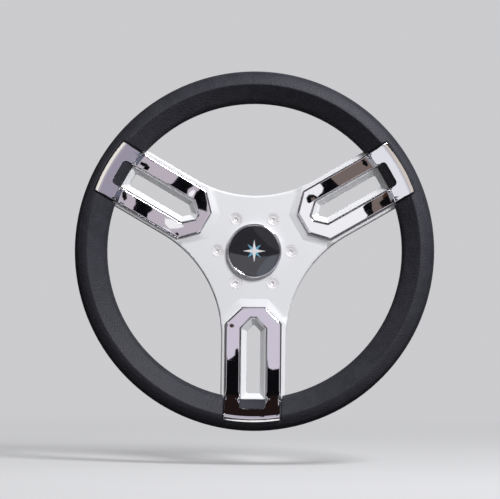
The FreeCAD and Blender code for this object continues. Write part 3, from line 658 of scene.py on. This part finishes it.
    def reshape(self, piece: Piece) -> None:
        """Opens out the rounding, deepens the groove and draws the outer end in."""
        outward, across = self.spoke.outward, self.spoke.across
        shape = bmesh.new()
        shape.from_mesh(piece.data)
        self.divide(shape)
        shape.normal_update()
        for vertex in shape.verts:
            if not any(face.normal.y < self.front_facing for face in vertex.link_faces):
                continue
            side, run = vertex.co.dot(across), vertex.co.dot(outward)
            reach = math.hypot(side, run)
            self.deepen(vertex, side, reach)
            aside, along, back = self.step(abs(side), run, reach)
            mirror = -1.0 if side < 0.0 else 1.0
            vertex.co += across * aside * mirror + outward * along + Vector((0.0, back, 0.0))
        shape.to_mesh(piece.data)
        shape.free()
        draw_in(piece)


def close_ends(piece: Piece) -> None:
    """Fills the open rings of a turned piece and makes its faces point outwards."""
    select_only(piece)
    edit("EDGE")
    bpy.ops.mesh.select_non_manifold()
    bpy.ops.mesh.edge_face_add()
    bpy.ops.mesh.select_all(action="SELECT")
    bpy.ops.mesh.remove_doubles(threshold=0.001 * MM)
    bpy.ops.mesh.normals_make_consistent(inside=False)
    bpy.ops.object.mode_set(mode="OBJECT")


def turned(profile: list[Pair], sides: int, right: float = 0.0) -> Piece:
    """Turns a closed profile about an axis that runs along Y, ring by ring, as on a lathe.

    Args:
        profile: Corners as (radius, distance to the front), in metres, from the back to the front.
        sides: Corners of each ring.
        right: How far to the right of the wheel's axis the profile's axis lies.

    Returns:
        The turned piece.
    """
    radius, front = profile[0]
    bpy.ops.mesh.primitive_circle_add(vertices=sides, radius=radius, location=(0.0, 0.0, 0.0),
                                      rotation=(math.radians(90.0), 0.0, 0.0))
    piece = bpy.context.object
    bpy.ops.object.transform_apply(location=False, rotation=True, scale=False)
    bpy.ops.object.mode_set(mode="EDIT")
    bpy.ops.mesh.select_all(action="SELECT")
    bpy.ops.transform.translate(value=(right, -front, 0.0))
    for next_radius, next_front in profile[1:]:
        bpy.ops.mesh.extrude_edges_move(TRANSFORM_OT_translate={"value": (0.0, front - next_front, 0.0)})
        scale = next_radius / radius
        bpy.ops.transform.resize(value=(scale, 1.0, scale), center_override=(right, -next_front, 0.0))
        radius, front = next_radius, next_front
    bpy.ops.object.mode_set(mode="OBJECT")
    close_ends(piece)
    return piece


def arc(centre: Pair, radius: float, start: float, stop: float, steps: int) -> list[Pair]:
    """Points along an arc of a profile, in steps between two angles in degrees, 0 outwards and 90 to the front."""
    points = []
    for step in range(steps + 1):
        angle = math.radians(start + (stop - start) * step / steps)
        points.append((centre[0] + radius * math.cos(angle), centre[1] + radius * math.sin(angle)))
    return points


@dataclass
class CapBezel:
    """The cap's chromed lip and skirt, turned in one.

    Attributes:
        front: Level of the lip's top, as face is of its foot and seat of the disc's seat.
        pin: Share of the radius that the innermost ring keeps.
    """

    radius: float = 27.5 * MM
    lip: float = 2.6 * MM
    front: float = 54.6 * MM
    face: float = 51.0 * MM
    seat: float = 52.6 * MM
    skirt: float = 22.2 * MM
    skirt_end: float = 44.0 * MM
    wall: float = 3.2 * MM
    floor: float = 1.2 * MM
    groove: float = 2.0 * MM
    groove_middle: float = 47.4 * MM
    groove_half: float = 1.05 * MM
    foot_round: float = 0.4 * MM
    pin: float = 0.004
    sides: int = 144
    chords: int = 16
    crisp: float = math.radians(32.0)

    def build(self, finish: Material) -> None:
        """Makes the bezel with its chrome."""
        bead = self.lip / 2
        low, high = self.groove_middle - self.groove_half, self.groove_middle + self.groove_half
        profile = [(self.pin * self.radius, self.seat - self.floor), (self.skirt - self.wall, self.seat - self.floor),
                   (self.skirt - self.wall, self.skirt_end), (self.skirt - self.foot_round, self.skirt_end),
                   (self.skirt, self.skirt_end + self.foot_round), (self.skirt, low), (self.skirt - self.groove, low),
                   (self.skirt - self.groove, high), (self.skirt, high), (self.skirt, self.face),
                   (self.radius - self.foot_round, self.face), (self.radius, self.face + self.foot_round)]
        profile += arc((self.radius - bead, self.front - bead), bead, 0.0, 180.0, self.chords)
        profile += [(self.radius - self.lip, self.seat), (self.pin * self.radius, self.seat)]
        piece = turned(profile, self.sides)
        bpy.ops.object.shade_smooth_by_angle(angle=self.crisp)
        enter_piece("cap_bezel_ring", piece, Slot.CAP, finish, "cap_bezel")


@dataclass
class CapDisc:
    """The cap's gloss disc, slightly crowned, with an inlaid compass star.

    Attributes:
        notch: Distance of the stars' inner corners from the middle.
        proud: How far the upper star stands proud, with the lower one deeper by layer.
    """

    radius: float = 24.85 * MM
    back: float = 52.6 * MM
    edge: float = 53.8 * MM
    front: float = 54.1 * MM
    bevel: float = 0.25 * MM
    rings: int = 14
    pin: float = 0.002
    sides: int = 128
    crisp: float = math.radians(30.0)
    long_point: float = 11.5 * MM
    short_point: float = 9.4 * MM
    notch: float = 2.5 * MM
    inlay: float = 0.25 * MM
    proud: float = 0.10 * MM
    layer: float = 0.04 * MM
    soft: float = 0.03 * MM
    sharp: float = math.radians(30.0)

    def build_disc(self, finish: Material) -> None:
        """Turns the disc, with its crown as an arc."""
        span = self.radius - self.bevel
        pin = self.pin * self.radius
        crown = (span ** 2 + (self.front - self.edge) ** 2) / (2.0 * (self.front - self.edge))
        profile = [(pin, self.back), (self.radius, self.back), (self.radius, self.edge - self.bevel)]
        for ring in range(self.rings + 1):
            reach = span * (1.0 - ring / self.rings) + pin * ring / self.rings
            profile.append((reach, self.front - crown + math.sqrt(crown ** 2 - reach ** 2)))
        piece = turned(profile, self.sides)
        bpy.ops.object.shade_smooth_by_angle(angle=self.crisp)
        enter_piece("cap_gloss_disc", piece, Slot.DISC, finish, "cap_disc")

    def build_star(self, name: str, point: float, turn: float, top: float, finish: Material) -> None:
        """Cuts a four-pointed star and lets it into the disc.

        Args:
            name: The piece's name.
            point: Reach of its points.
            turn: Angle of its first point in degrees.
            top: Distance of its face to the front.
            finish: Its enamel.
        """
        bpy.ops.mesh.primitive_circle_add(vertices=8, radius=point, fill_type="NGON", location=(0.0, -top, 0.0),
                                          rotation=(math.radians(90.0), math.radians(turn), 0.0))
        star = bpy.context.object
        bpy.ops.object.transform_apply(location=True, rotation=True, scale=False)
        edit("VERT")
        shape = bmesh.from_edit_mesh(star.data)
        shape.verts.ensure_lookup_table()
        for number in range(1, 8, 2):
            shape.verts[number].select_set(True)
        bmesh.update_edit_mesh(star.data)
        share = self.notch / point
        bpy.ops.transform.resize(value=(share, 1.0, share), center_override=(0.0, -top, 0.0))
        bpy.ops.object.mode_set(mode="OBJECT")
        body = star.modifiers.new("body", "SOLIDIFY")
        body.thickness = self.inlay
        body.offset = -1.0 if star.data.polygons[0].normal.y < 0.0 else 1.0
        break_edges(star, self.soft, self.sharp)
        enter_piece(name, star, Slot.SPIDER, finish)

    def build(self, finish: Material, light: Material, pale: Material) -> None:
        """Makes the disc and its star.

        Args:
            finish: The disc's gloss black.
            light: Enamel of the long points.
            pale: Enamel of the short points.
        """
        self.build_disc(finish)
        face = self.front + self.proud
        self.build_star("compass_star_short", self.short_point, 45.0, face - self.layer, pale)
        self.build_star("compass_star_long", self.long_point, 0.0, face, light)


@dataclass
class HubScrews:
    """The countersunk socket screws in the hub plate.

    Attributes:
        ring: Radius of the pressed recess round the socket, with a flat bottom.
        overshoot: How far the tool that cuts the socket stands out of it.
    """

    circle: float = 37.0 * MM
    count: int = 6
    head: float = 6.1 * MM
    front: float = 50.9 * MM
    land: float = 0.5 * MM
    shank: float = 3.0 * MM
    length: float = 16.0 * MM
    edge: float = 0.25 * MM
    ring: float = 4.1 * MM
    recess: float = 0.35 * MM
    ring_round: float = 0.2 * MM
    ring_drop: float = 0.05 * MM
    ring_wall: float = 0.3 * MM
    bottom: float = 2.6 * MM
    socket: float = 4.0 * MM
    socket_depth: float = 2.3 * MM
    overshoot: float = 1.0 * MM
    soft: float = 0.12 * MM
    sharp: float = math.radians(50.0)
    sides: int = 48
    crisp: float = math.radians(30.0)

    def build_one(self) -> Piece:
        """Turns one screw and breaks out its hexagonal socket."""
        back = self.front - self.length
        cone = self.front - self.land - (self.head - self.shank)
        floor = self.front - self.recess
        profile = [(self.shank - self.edge, back), (self.shank, back + self.edge), (self.shank, cone),
                   (self.head, self.front - self.land), (self.head, self.front - self.edge),
                   (self.head - self.edge, self.front), (self.ring + self.ring_round, self.front),
                   (self.ring, self.front - self.ring_drop), (self.ring - self.ring_wall, floor), (self.bottom, floor)]
        screw = turned(profile, self.sides, self.circle)
        middle = floor - self.socket_depth / 2 + self.overshoot / 2
        bpy.ops.mesh.primitive_cylinder_add(vertices=6, radius=self.socket / math.sqrt(3.0),
                                            depth=self.socket_depth + self.overshoot,
                                            location=(self.circle, -middle, 0.0),
                                            rotation=(math.radians(90.0), 0.0, 0.0))
        key = bpy.context.object
        cut = screw.modifiers.new("socket", "BOOLEAN")
        cut.object = key
        cut.solver = "EXACT"
        apply_modifiers(screw)
        bpy.data.objects.remove(key)
        break_edges(screw, self.soft, self.sharp)
        return screw

    def build(self, finish: Material) -> None:
        """Makes all the screws, of one steel."""
        first = self.build_one()
        screws = [first]
        for number in range(1, self.count):
            select_only(first)
            bpy.ops.object.duplicate(linked=False)
            copied = bpy.context.object
            copied.rotation_euler = (0.0, math.radians(360.0 / self.count * number), 0.0)
            settle(copied)
            screws.append(copied)
        select_only(first)
        for screw in screws:
            screw.select_set(True)
        bpy.ops.object.join()
        bpy.ops.object.shade_smooth_by_angle(angle=self.crisp)
        enter_piece("hub_screw_heads", first, Slot.SCREW, finish, "hub_screws")


@dataclass(frozen=True)
class Glow:
    """A patch of the surroundings, as polished pieces mirror it.

    Attributes:
        towards: Its direction from the wheel as (right, front, up).
        reach: Its half angle in degrees.
        soft: Width of its soft edge in degrees.
    """

    towards: Triple
    reach: float
    soft: float
    colour: Colour


@dataclass(frozen=True)
class Card:
    """A flat glowing card beside the camera that paints a reflection onto an insert's plate, or onto the cap's disc: a
    painted reflection.

    Attributes:
        spoke: The spoke whose insert mirrors it, or nothing where the cap's disc does.
        corners: The outline of its image, in millimetres, as (side, run) on an insert and (right, up) on the disc.
        layer: Its place in the stack of cards, 0 the furthest from the wheel.
    """

    spoke: Spoke | None
    colour: Colour
    corners: tuple[Pair, ...]
    layer: int = 1


# Colours of the cards' painted reflections, including painted dark patches and painted highlights.
BLACK: Colour = (0.004, 0.004, 0.005)
LILAC: Colour = (0.72, 0.66, 0.76)
MAUVE: Colour = (0.58, 0.52, 0.58)
WHITE: Colour = (1.05, 1.05, 1.06)
TAUPE: Colour = (0.20, 0.155, 0.14)
UMBER: Colour = (0.06, 0.030, 0.018)
SMOKE: Colour = (0.105, 0.097, 0.105)
ASH: Colour = (0.30, 0.28, 0.30)
SILVER: Colour = (0.76, 0.75, 0.81)
ICE: Colour = (1.05, 1.10, 1.30)
LOWER, LEFT, RIGHT = Spoke.LOWER, Spoke.UPPER_LEFT, Spoke.UPPER_RIGHT
WHOLE = ((-32, 52), (32, 52), (32, 150), (-32, 150))
# The cards that paint reflections onto the chrome and the disc, each with its image as it shows there: painted
# reflections.
PAINTED_REFLECTION_CARDS = (
    Card(LOWER, LILAC, WHOLE, 0),
    Card(LOWER, BLACK, ((-32, 118), (-24, 117), (-20, 117), (-17, 115), (-15, 111), (-14, 104), (12, 96), (17, 95.5),
                        (18.5, 97), (19, 103), (22, 106), (25, 109), (32, 108), (32, 150), (-32, 150))),
    Card(LOWER, UMBER, ((19.5, 73), (22, 71.5), (24, 73), (23.5, 75.5), (21, 75.5)), 2),
    Card(LEFT, MAUVE, WHOLE, 0),
    Card(LEFT, BLACK, ((-29, 124), (-24, 126), (-20, 125), (-16, 127), (-11, 128), (-11, 106), (-18, 107), (-22, 110),
                       (-29, 108))),
    Card(LEFT, BLACK, ((11, 105), (14, 105), (18, 103), (29, 103), (29, 90), (25, 85), (20, 87), (15, 84), (11, 86))),
    Card(LEFT, BLACK, ((5, 68), (9, 72), (13, 76), (22, 79), (29, 76), (24, 68), (17, 62), (11, 58), (8, 63)), 2),
    Card(LEFT, BLACK, ((-23, 137), (-20, 142), (-16, 144), (-14, 142), (-15, 138), (-20, 135))),
    Card(LEFT, BLACK, ((17, 143), (20, 143), (21, 136), (19.5, 131), (15, 131), (14.5, 134), (17.5, 136))),
    Card(LEFT, WHITE, ((-22, 90), (-18, 92), (-16, 86), (-14, 78), (-12, 71), (-15, 70), (-20, 76), (-24, 84)), 2),
    Card(LEFT, WHITE, ((15, 82), (18, 84), (22, 83), (22, 80), (17, 79)), 3),
    Card(LEFT, BLACK, ((-27, 75), (-25, 77), (-23, 75), (-24, 72.5), (-26, 72.5)), 3),
    Card(RIGHT, WHITE, WHOLE, 0),
    Card(RIGHT, TAUPE, ((-32, 101), (-11, 101), (-11, 150), (-32, 150))),
    Card(RIGHT, BLACK, ((-26, 139), (-23, 141.5), (-19, 140.5), (-18, 138), (-22, 136)), 2),
    Card(RIGHT, BLACK, ((-32, 101), (-26, 102), (-20, 103), (-11, 104), (-11, 76), (-17, 80), (-18, 86), (-21, 90),
                        (-32, 91)), 2),
    Card(RIGHT, BLACK, ((-22.5, 74), (-20.5, 78), (-17, 79.5), (-13.5, 78), (-12, 74), (-13.5, 70), (-17, 68),
                        (-21, 70)), 3),
    Card(RIGHT, TAUPE, ((-19, 74), (-17.5, 77), (-15, 77), (-14.5, 74), (-16, 72)), 4),
    Card(RIGHT, TAUPE, ((12, 120), (32, 120), (32, 150), (12, 150))),
    Card(RIGHT, BLACK, ((12, 125), (17, 124), (22, 122), (32, 124), (32, 116), (26, 116), (20, 114), (12, 114)), 2),
    Card(RIGHT, UMBER, ((12, 138), (18, 136), (32, 139), (32, 150), (12, 150)), 2),
    Card(RIGHT, BLACK, ((17, 143), (19, 136), (20, 131), (24, 132), (27, 136), (28, 143)), 3),
    Card(None, SMOKE, ((-26, -11), (-11, -26), (11, -26), (26, -11), (26, 11), (11, 26), (-11, 26), (-26, 11)), 0),
    Card(None, ASH, ((-3, 26), (2, 18), (14, 6), (26, -1), (26, 11), (11, 26))),
    Card(None, SILVER, ((-26, -1), (-20, -3), (-11, -4.5), (2, -6), (16, -5), (26, -2), (26, -11), (11, -26),
                        (-11, -26), (-26, -11))),
    Card(None, ICE, ((1, -26), (5, -17), (12, -8), (18, -4), (24, -5), (19, -18), (11, -26)), 2),
)


@dataclass
class Studio:
    """Floor, surroundings, lamp and camera, in metres, degrees and linear colours.

    Attributes:
        middle: Place of the wheel's middle along the axis.
        fill_from: Direction of the even light as (right, front, up).
        fill_span: Cosines to that direction between which it eases from fill_beside to fill.
        fill_behind: Strength of the light from straight behind, which eases over behind_span.
        floor_hidden: Share of the backdrop's tone over the floor at the distances of floor_fade.
        plate_level: Level of the inserts' plates at the axis, in millimetres in front of the middle.
        stack: Distance between two layers of cards.
    """

    distance: float = 2.2
    middle: float = -0.060
    lens: float = 158.4
    sensor: float = 36.0
    clip: float = 50.0
    camera_side: float = 0.088
    camera_rise: float = -0.070
    aim_side: float = -0.0040
    aim_rise: float = 0.0013
    roll: float = 0.55
    fill: float = 0.33
    fill_beside: float = 0.03
    fill_from: Triple = (0.50, 0.75, 0.43)
    fill_span: Pair = (-0.25, 0.85)
    fill_behind: float = 0.9
    behind_span: Pair = (0.70, 0.92)
    fill_tint: Colour = (0.97, 0.98, 1.0)
    backdrop: Colour = (0.60, 0.60, 0.615)
    mirrored_base: Colour = (0.015, 0.014, 0.016)
    glows: tuple[Glow, ...] = (
        Glow((0.0, 1.0, 0.0), 34.0, 4.0, (0.62, 0.58, 0.62)),
        Glow((0.0, 0.2, 1.0), 38.0, 16.0, (0.017, 0.0095, 0.009)),
        Glow((-0.80, 0.38, -0.48), 14.0, 5.0, (0.90, 0.90, 0.94)),
        Glow((0.80, 0.38, -0.48), 14.0, 5.0, (0.38, 0.35, 0.43)),
        Glow((-0.87, 0.06, -0.47), 10.0, 2.0, (0.37, 0.37, 0.39)),
        Glow((0.82, 0.07, -0.56), 13.0, 3.0, (0.17, 0.18, 0.24)),
        Glow((0.0, 0.6, -0.8), 8.0, 4.0, (1.1, 1.1, 1.1)),
        Glow((-0.55, 0.75, 0.32), 9.0, 4.0, (1.0, 0.94, 0.86)),
        Glow((0.55, 0.75, 0.32), 8.0, 4.0, (0.75, 0.68, 0.60)),
        Glow((0.1, -1.0, 0.25), 26.0, 14.0, (0.55, 0.55, 0.57)),
    )
    key_place: Triple = (0.84, -1.20, 1.34)
    key_size: float = 0.60
    key_power: float = 47.0
    key_tint: Colour = (0.955, 0.962, 1.0)
    floor_size: float = 12.0
    floor_height: float = -0.215
    floor_tone: Colour = (0.86, 0.86, 0.86)
    floor_roughness: float = 0.85
    floor_hidden: Pair = (0.55, 1.0)
    floor_fade: Pair = (0.35, 1.1)
    arm_slope: float = 3.0
    plate_level: float = -8.03
    card_distance: float = 0.45
    disc_front: float = 54.1 * MM
    disc_crown: float = 1.01
    disc_card_distance: float = 0.045
    stack: float = 0.001

    def camera_place(self) -> Vector:
        """Where the camera stands."""
        return Vector((self.camera_side, self.middle - self.distance, self.camera_rise))

    def looking(self, place: Vector, target: Vector) -> Matrix:
        """The pose of something that stands at a place and points at a target."""
        return Matrix.Translation(place) @ (target - place).to_track_quat("-Z", "Y").to_matrix().to_4x4()

    def build_camera(self) -> None:
        """Puts the camera at the photograph's viewpoint."""
        bpy.ops.object.camera_add()
        camera = bpy.context.object
        camera.data.lens = self.lens
        camera.data.sensor_width = self.sensor
        camera.data.clip_end = self.clip
        pose = self.looking(self.camera_place(), Vector((self.aim_side, self.middle, self.aim_rise)))
        camera.matrix_world = pose @ Matrix.Rotation(math.radians(self.roll), 4, "Z")
        bpy.context.scene.camera = camera

    def build_world(self) -> None:
        """Lights the scene evenly, and shows the backdrop's tone to the camera and the room to polished pieces."""
        world = bpy.data.worlds.new("studio")
        bpy.context.scene.world = world
        tree = Tree(world)
        even = tree.nodes["Background"]
        tree.set(even, Color=self.fill_tint)
        seen = tree.add("ShaderNodeBackground", Color=self.backdrop)
        room = tree.add("ShaderNodeBackground")
        way = tree.add("ShaderNodeTexCoord").outputs["Generated"]
        total = tree.add("ShaderNodeMath", operation="ADD")
        tree.join(tree.facing(way, self.fill_from, self.fill_beside, self.fill, *self.fill_span), total.inputs[0])
        tree.join(tree.facing(way, (0.0, -1.0, 0.0), 0.0, self.fill_behind, *self.behind_span), total.inputs[1])
        tree.join(total.outputs[0], even.inputs["Strength"])
        colour = self.mirrored_base
        for glow in self.glows:
            outer, inner = math.radians(glow.reach + glow.soft), math.radians(glow.reach)
            share = tree.facing(way, glow.towards, 0.0, 1.0, math.cos(outer), math.cos(inner))
            colour = tree.blend(share, colour, glow.colour)
        tree.join(colour, room.inputs["Color"])
        path = tree.add("ShaderNodeLightPath")
        shiny = tree.choose(path.outputs["Is Glossy Ray"], even.outputs[0], room.outputs[0])
        surface = tree.choose(path.outputs["Is Camera Ray"], shiny, seen.outputs[0])
        tree.join(surface, tree.nodes["World Output"].inputs["Surface"])

    def build_lamp(self) -> None:
        """Hangs a broad soft lamp at the upper right."""
        bpy.ops.object.light_add(type="AREA")
        lamp = bpy.context.object
        lamp.name = "key"
        lamp.data.shape = "SQUARE"
        lamp.data.size = self.key_size
        lamp.data.energy = self.key_power
        lamp.data.color = self.key_tint
        lamp.matrix_world = self.looking(Vector(self.key_place), Vector((0.0, self.middle, 0.0)))

    def build_floor(self) -> None:
        """Lays the pale floor, which keeps the wheel's shadow and fades to the backdrop's tone further out."""
        bpy.ops.mesh.primitive_plane_add(size=self.floor_size, location=(0.0, 0.0, self.floor_height))
        floor = bpy.context.object
        floor.name = "floor"
        graph = Graph("floor_pale")
        graph.set(graph.shader, Base_Color=self.floor_tone, Roughness=self.floor_roughness)
        away = graph.add("ShaderNodeVectorMath", operation="LENGTH")
        graph.join(graph.place, away.inputs[0])
        path = graph.add("ShaderNodeLightPath")
        seen = graph.add("ShaderNodeMath", operation="MULTIPLY")
        graph.join(graph.spread(away.outputs["Value"], *self.floor_hidden, *self.floor_fade), seen.inputs[0])
        graph.join(path.outputs["Is Camera Ray"], seen.inputs[1])
        tone = graph.add("ShaderNodeEmission", Color=self.backdrop)
        graph.show(graph.choose(seen.outputs[0], graph.shader.outputs[0], tone.outputs[0]))
        floor.data.materials.append(graph.material)
        floor.visible_glossy = False
        floor.visible_diffuse = False

    def hit(self, point: Vector, facing: Vector, depth: float) -> Vector:
        """Where the camera's ray, mirrored at a point of a surface that faces a direction, reaches a depth."""
        ray = (point - self.camera_place()).reflect(facing)
        return point + ray * ((depth - point.y) / ray.y)

    def mirrored_in_disc(self, right: float, up: float, layer: int) -> Vector:
        """Where the camera sees a point of the card plane in the cap's disc, as for the inserts: where a card's corner
        goes so that its painted reflection lands there.
        """
        point = Vector((right * MM, -self.disc_front, up * MM))
        facing = Vector((point.x / self.disc_crown, -1.0, point.z / self.disc_crown)).normalized()
        return self.hit(point, facing, -self.disc_front - self.disc_card_distance + self.stack * layer)

    def mirrored_place(self, spoke: Spoke, side: float, run: float, layer: int) -> Vector:
        """Where the camera sees a point of the card plane in an insert's plate: where a card's corner goes so that its
        painted reflection lands there.

        Args:
            spoke: The insert's spoke.
            side: Place of the image across the insert, in millimetres.
            run: Place of the image along the insert, in millimetres from the axis.
            layer: The card's layer.

        Returns:
            The point of the card.
        """
        slope = math.radians(self.arm_slope)
        outward, across = spoke.outward, spoke.across
        height = (self.plate_level + run * math.tan(slope)) * MM
        point = outward * run * MM + across * side * MM + Vector((0.0, self.middle - height, 0.0))
        facing = (Vector((0.0, -1.0, 0.0)) * math.cos(slope) - outward * math.sin(slope)).normalized()
        return self.hit(point, facing, self.middle - self.card_distance + self.stack * layer)

    def card_finish(self, colour: Colour) -> Material:
        """A finish that shines evenly in one colour, for a card's painted reflection."""
        graph = Graph("card")
        graph.show(graph.add("ShaderNodeEmission", Color=colour).outputs[0])
        return graph.material

    def build_cards(self) -> None:
        """Hangs the glowing cards that paint reflections onto the inserts and the disc. Nothing else sees them."""
        finishes = {colour: self.card_finish(colour) for colour in dict.fromkeys(card.colour for card in PAINTED_REFLECTION_CARDS)}
        for number, card in enumerate(PAINTED_REFLECTION_CARDS):
            if card.spoke is None:
                corners = [self.mirrored_in_disc(right, up, card.layer) for right, up in card.corners]
            else:
                corners = [self.mirrored_place(card.spoke, side, run, card.layer) for side, run in card.corners]
            mesh = bpy.data.meshes.new("card")
            mesh.from_pydata(corners, [], [tuple(range(len(corners)))])
            sheet = bpy.data.objects.new("card_%02d" % number, mesh)
            bpy.context.collection.objects.link(sheet)
            mesh.materials.append(finishes[card.colour])
            # Only mirror rays see a card: it is a painted reflection, not a lamp.
            sheet.visible_camera = False
            sheet.visible_diffuse = False
            sheet.visible_shadow = False
            sheet.visible_transmission = False

    def build(self) -> None:
        """Builds the whole studio."""
        self.build_camera()
        self.build_world()
        self.build_lamp()
        self.build_floor()
        self.build_cards()
        bpy.context.scene.view_settings.view_transform = "Standard"
        log.info("studio ready")


def main() -> None:
    """Dresses the wheel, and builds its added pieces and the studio."""
    logging.basicConfig(level=logging.INFO)
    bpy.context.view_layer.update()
    chrome = MirrorChrome("insert_chrome").build()
    steel = SatinSteel().build()
    Rim("rim_grip", "rim_moulding", Slot.RIM, 0.5 * MM).build(GrainedPolyurethane().build())
    Refined("spoke_spider", "spider_casting", Slot.SPIDER, 0.35 * MM).build(WhiteEnamel().build())
    for spoke in Spoke:
        side = spoke.name.lower()
        Insert("insert_" + side, "chromed_insert_" + side, Slot.INSERT, spoke=spoke).build(chrome)
    dress("insert_screws", steel)
    HubScrews().build(steel)
    dress("hub_boss", BlackHub().build())
    CapBezel().build(MirrorChrome("cap_chrome", roughness=(0.042, 0.084)).build())
    CapDisc().build(GlossDisc().build(),
                    InlayEnamel("inlay_white", (0.7254, 0.7254, 0.7347), other=(0.78, 0.78, 0.79)).build(),
                    InlayEnamel("inlay_blue", (0.1395, 0.372, 0.5022), other=(0.15, 0.40, 0.54)).build())
    dress("cap_o_ring", RingRubber().build())
    Studio().build()


if __name__ == "__main__":
    main()
